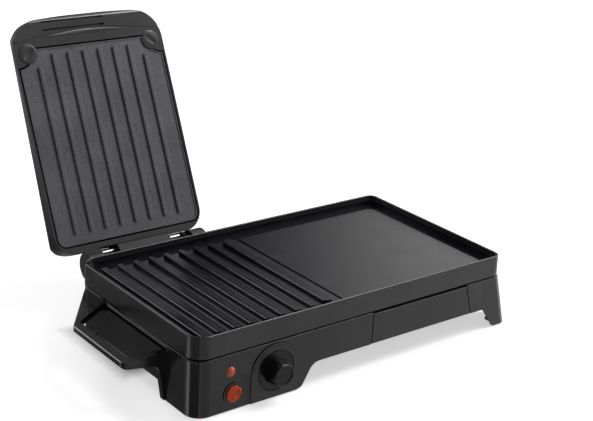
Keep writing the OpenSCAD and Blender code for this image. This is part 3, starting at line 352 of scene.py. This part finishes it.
lidTrim = {  # metres and degrees, across, forward and up on the closed lid
    "hinge": (0, 0.06203, 0.0775),
    "lean": 25.4,
    "middle": -0.126,
    "rimDepth": 0.0246,
    "plateSide": 0.1058,  # half the plate's width
    "plateEnds": (0.0285, 0.2850),
    "plateNotch": 0.024,  # radius of its hollow front corners
    "plateClear": 0.0017,
    "plateCorner": 0.013,
    "near": 0.001,
    "grooveFloor": 0.0262,
    "grooveDeeper": 0.0035,
    "grooveWithin": 0.0003,
    "grooveFrom": 0.3,
    "bossAt": (0.0895, 0.278),
    "bossRadius": 0.0125,
    "bossHeight": 0.0008,
    "bossSunk": 0.0002,
    "bossTurn": 42,
    "bossSteps": [  # inset, squeeze of the face inside, lift
        (0.0009, 1, -0.0002), (0.0022, 0.42, 0), (0.0006, 1, 0.0006), (0.0012, 1, 0.0002)],
    "lensEnds": (-0.190, -0.072),
    "lensForward": 0.297,
    "lensSwell": 0.0052,
    "lensThick": 0.0014,
    "lensSunk": 0.0003,
    "lensEdge": 0.0004,
    "lensSharpFrom": 30,
}


def lidPlace():  # from the closed lid's own axes (across, forward, up) to where it stands open
    turn = Matrix.Rotation(math.radians(-90 - lidTrim["lean"]), 4, "X")
    return Matrix.Translation(lidTrim["hinge"]) @ turn @ Matrix.Scale(-1, 4, (0, 1, 0))


def drawIn(plate):  # the plate's outer wall moves in, so the dark joint round it shows
    back = lidPlace().inverted()
    side, notch, clear, near = (lidTrim[k] for k in ("plateSide", "plateNotch", "plateClear", "near"))
    rear, front = lidTrim["plateEnds"]

    def outerWall(face):
        at, way = back @ face.center, back.to_3x3() @ face.normal
        fromSide = side - abs(at.x - lidTrim["middle"])
        outward = (at.x - lidTrim["middle"]) * way.x + (at.y - (rear + front) / 2) * way.y > 0
        edge = fromSide < near or at.y < rear + near or at.y > front - near
        corner = fromSide < lidTrim["plateCorner"] and at.y < rear + lidTrim["plateCorner"]
        hollow = math.hypot(fromSide, front - at.y) < notch + near
        return abs(way.z) < 0.2 and outward and (edge or corner or hollow)

    pickFaces(plate, outerWall)
    bpy.ops.transform.shrink_fatten(value=-clear, use_even_offset=True)
    print("lid plate drawn in:", countPicked(plate), "faces")


def deepenGrooves(handle):  # the finger grooves end in shadow
    back = lidPlace().inverted()

    def grooveFloor(face):
        at, way = back @ face.center, back.to_3x3() @ face.normal
        deep = abs(at.z - lidTrim["grooveFloor"]) < lidTrim["grooveWithin"]
        return abs(way.z) > 0.9 and deep and at.y > lidTrim["grooveFrom"]

    pickFaces(handle, grooveFloor)
    bpy.ops.transform.translate(value=lidPlace().to_3x3() @ Vector((0, 0, lidTrim["grooveDeeper"])))
    print("grooves deepened:", countPicked(handle), "faces")


def makeLidBoss(side):  # low round boss with an oval dimple in each hollow corner of the plate
    across, forward = lidTrim["bossAt"]
    height, sunk = lidTrim["bossHeight"], lidTrim["bossSunk"]
    centre = Vector((lidTrim["middle"] + side * across, forward, lidTrim["rimDepth"] - height / 2 + sunk))
    deselect()
    bpy.ops.mesh.primitive_cylinder_add(vertices=72, radius=lidTrim["bossRadius"], depth=height + 2 * sunk,
        location=centre)
    boss = bpy.context.object
    bpy.ops.object.mode_set(mode="EDIT")
    pickFaces(boss, lambda face: face.normal.z < -0.9)
    for inset, squeeze, lift in lidTrim["bossSteps"]:
        bpy.ops.mesh.inset(thickness=inset)
        bpy.ops.transform.resize(value=(1, squeeze, 1))
        bpy.ops.transform.translate(value=(0, 0, lift))
    bpy.ops.object.mode_set(mode="OBJECT")
    spin = Matrix.Rotation(math.radians(-side * lidTrim["bossTurn"]), 4, "Z")
    turn = Matrix.Translation(centre) @ spin @ Matrix.Translation(-centre)
    name = "lidBossLeft" if side < 0 else "lidBossRight"
    return settle(boss, name, lidPlastic, "lid", lidPlace() @ turn, 25)


def makeLidLens():  # shallow raised segment of a circle between the handle and the plate
    left, right = lidTrim["lensEnds"]
    half, swell = (right - left) / 2, lidTrim["lensSwell"]
    radius = (half * half + swell * swell) / (2 * swell)
    middle, base = (left + right) / 2, lidTrim["lensForward"]
    deselect()
    bpy.ops.mesh.primitive_cylinder_add(vertices=720, radius=radius, depth=lidTrim["lensThick"],
        location=(middle, base + swell - radius, lidTrim["rimDepth"] - lidTrim["lensSunk"]))
    lens = bpy.context.object
    bpy.ops.object.transform_apply(location=True)
    bpy.ops.object.mode_set(mode="EDIT")
    bpy.ops.mesh.select_all(action="SELECT")
    bpy.ops.mesh.bisect(plane_co=(middle, base, 0), plane_no=(0, 1, 0), use_fill=True, clear_inner=True)
    bpy.ops.object.mode_set(mode="OBJECT")
    easeModifier(lens, lidTrim["lensEdge"], lidTrim["lensSharpFrom"])
    applyAll(lens)
    return settle(lens, "lidTrimLens", lidPlastic, "lid", lidPlace(), 30)


makeLidBoss(-1)
makeLidBoss(1)
makeLidLens()
print("lid trim made")


frontTrim = [  # the way that an end of the drip tray's front faces, and how far it is drawn in
    ((-1, 0, 0), 0.0007),
    ((0, 0, 1), 0.0008),
    ((1, 0, 0), 0.0004),
]


def widenJoint(front):  # the dark joint round the drip tray's front is wider at the left and the top
    for way, shift in frontTrim:
        bpy.ops.mesh.select_mode(type="FACE")
        pickFaces(front, lambda face: face.normal.dot(Vector(way)) > 0.9)
        bpy.ops.transform.translate(value=Vector(way) * -shift)
        print("drawer front joint:", countPicked(front), "faces")


rims = {
    "width": 0.0007,
    "steps": 3,
    "topWithin": 0.0005,
    "facing": 0.95,
    "knobAxis": (-0.125, 0.036),  # across and up
    "ring": (0.019, 0.026),  # the ring's outer edge lies between these radii
}


def easeFound(piece, test):  # rounds the edges of the patches that the test finds
    pickFaces(piece, test)
    found = countPicked(piece)
    bpy.ops.mesh.region_to_loop()
    bpy.ops.mesh.bevel(offset=rims["width"], segments=rims["steps"], affect="EDGES", clamp_overlap=True)
    print(piece.name, "edges eased round", found, "faces")


def easeTop(piece):
    top = max(vertex.co.z for vertex in piece.data.vertices) - rims["topWithin"]
    easeFound(piece, lambda face: face.normal.z > rims["facing"] and face.center.z > top)


def easeHousing(piece):  # its top edge and the ring round the knob
    easeTop(piece)
    bpy.ops.mesh.select_mode(type="FACE")
    across, up = rims["knobAxis"]
    near, far = rims["ring"]

    def ring(face):
        corners = (piece.data.vertices[k].co for k in face.vertices)
        reach = max(math.hypot(corner.x - across, corner.z - up) for corner in corners)
        return face.normal.y < -rims["facing"] and near < reach < far

    easeFound(piece, ring)


easedPieces = [  # CAD piece, new name, material, body, slot, edge in mm, change of shape
    ("left_handle", "carryHandleLeft", handlePlastic, "base", "black_satin_plastic", 0.9),
    ("right_handle", "carryHandleRight", handlePlastic, "base", "black_satin_plastic", 0.9),
    ("heat_knob", "heatKnob", knobPlastic, "knob", "knob_plastic", 0.5),
    ("power_button", "powerButton", redButton, "button", "red_button_plastic", 0.5),
    ("cooking_plate", "cookingPlate", plateCoat, "base", "coated_casting", 0.6),
    ("drip_tray_front", "drawerFront", basePlastic, "drawer", "black_satin_plastic", 0.7, widenJoint),
    ("lid_plate", "lidGrillPlate", lidPlateCoat, "lid", "coated_casting", 0.7, drawIn),
    ("lid_handle", "lidHandle", lidPlastic, "lid", "black_satin_plastic", 0.3, deepenGrooves),
    ("tray_frame", "trayFrame", framePlastic, "base", "black_satin_plastic", 0, easeTop),
    ("base_housing", "baseHousing", basePlastic, "base", "black_satin_plastic", 0, easeHousing),
]

for row in easedPieces:
    softEdged(*row)
print("pieces eased:", len(easedPieces))


studio = {
    "floorSize": 8,
    "floorDrop": 0.0004,
    "floorColour": "#ececec",
    "floorSeen": 0.55,
    "shaded": ((-0.155, -0.012), (0.07, 0.055), 0.03),  # by the left leg: middle, half sizes, soft edge
    "skyLevel": 0.32,
    "horizon": (-0.36, -0.27),  # a gloss sees "below" under these heights and "above" over them
    # what a gloss sees round about: degrees from +X, brightness
    "above": [(-180, 0.15), (-130, 0.15), (-95, 0.3), (-72, 0.8), (-57, 0.95), (-40, 1.5), (-25, 3.2),
        (-8, 3.2), (10, 1.3), (42, 1.3), (47, 0.95), (50, 0.4), (54, 0.06), (75, 0.06), (112, 0.9),
        (128, 0.9), (150, 0.3), (180, 0.15)],
    "below": [(-180, 0.15), (-128, 0.15), (-121, 0.9), (-112, 0.5), (-60, 0.5), (-50, 0.72), (-42, 0.9),
        (0, 0.8), (60, 0.3), (110, 0.09), (124, 0.11), (132, 0.4), (143, 0.4), (150, 1.7), (162, 1.7),
        (170, 0.15), (180, 0.15)],
    "lamps": [  # name, place, target, size, watts
        ("keyLamp", (1.5, -0.7, 2.3), (0.0, 0.0, 0.1), 1.1, 34),
        ("backLamp", (-0.3, 1.9, 1.7), (0.0, 0.0, 0.1), 1.2, 22),
    ],
}


def makeFloor():  # pale ground that glows only where it is seen, so the object's shadow stays on it
    deselect()
    bpy.ops.mesh.primitive_plane_add(size=studio["floorSize"], location=(0, 0, -studio["floorDrop"]))
    floor = bpy.context.object
    floor.name = "studioFloor"
    material, tree, shader, place = newMaterial("floorWhite")
    shader.inputs["Base Color"].default_value = linear(studio["floorColour"])
    shader.inputs["Roughness"].default_value = 0.9
    shader.inputs["Emission Color"].default_value = (1, 1, 1, 1)
    path = addNode(tree, "ShaderNodeLightPath")
    middle, half, soft = studio["shaded"]
    flat = addNode(tree, "ShaderNodeSeparateXYZ", Vector=place)
    clear = []
    for axis in (0, 1):
        off = combine(tree, "SUBTRACT", flat.outputs[axis], number=middle[axis])
        off = combine(tree, "ABSOLUTE", off)
        clear.append(spread(tree, off, 0, 1, half[axis], half[axis] + soft))
    outside = combine(tree, "MAXIMUM", clear[0], clear[1])
    seen = combine(tree, "MULTIPLY", path.outputs["Is Camera Ray"], outside)
    glow = combine(tree, "MULTIPLY", seen, number=studio["floorSeen"])
    tree.links.new(glow, shader.inputs["Emission Strength"])
    floor.data.materials.append(material)
    floor.visible_glossy = False  # a gloss sees the studio's lower half instead


def around(tree, turn, levels):  # brightness by direction, from a turn of 0 to 1
    ramp = addNode(tree, "ShaderNodeValToRGB", in0=turn)
    stops = ramp.color_ramp.elements
    while len(stops) > 1:
        stops.remove(stops[-1])
    for k, (degrees, level) in enumerate(levels):
        stop = stops[0] if k == 0 else stops.new(degrees / 360 + 0.5)
        stop.position = degrees / 360 + 0.5
        stop.color = (level, level, level, 1)
    return ramp.outputs["Color"]


def makeWorld():  # white where it is seen, plain where it lights, light and dark strips for a gloss
    world = bpy.data.worlds.new("studioWorld")
    bpy.context.scene.world = world
    world.use_nodes = True
    tree = world.node_tree
    background = tree.nodes["Background"]
    background.inputs["Color"].default_value = (1, 1, 1, 1)
    path = addNode(tree, "ShaderNodeLightPath")
    way = addNode(tree, "ShaderNodeTexCoord").outputs["Generated"]
    flat = addNode(tree, "ShaderNodeSeparateXYZ", Vector=way)
    turn = combine(tree, "ARCTAN2", flat.outputs["Y"], flat.outputs["X"])
    turn = spread(tree, turn, 0, 1, -math.pi, math.pi)
    height = spread(tree, flat.outputs["Z"], 0, 1, *studio["horizon"])
    gloss = addNode(tree, "ShaderNodeMix", {"data_type": "RGBA"}, in0=height,
        in6=around(tree, turn, studio["below"]), in7=around(tree, turn, studio["above"])).outputs[2]
    lit = addNode(tree, "ShaderNodeMix", {"data_type": "FLOAT", 2: studio["skyLevel"]},
        in0=path.outputs["Is Glossy Ray"], in3=gloss).outputs[0]
    seen = combine(tree, "MAXIMUM", path.outputs["Is Camera Ray"], path.outputs["Is Transmission Ray"])
    level = combine(tree, "MAXIMUM", lit, seen)
    tree.links.new(level, background.inputs["Strength"])


def makeLamps():
    for name, place, target, size, watts in studio["lamps"]:
        data = bpy.data.lights.new(name, "AREA")
        data.size = size
        data.energy = watts
        lamp = bpy.data.objects.new(name, data)
        aim = (Vector(target) - Vector(place)).to_track_quat("-Z", "Y")
        lamp.matrix_world = Matrix.Translation(place) @ aim.to_matrix().to_4x4()
        bpy.context.scene.collection.objects.link(lamp)


makeFloor()
makeWorld()
makeLamps()
print("studio set:", len(studio["lamps"]), "lamps")
bpy.context.scene.view_settings.view_transform = "Standard"
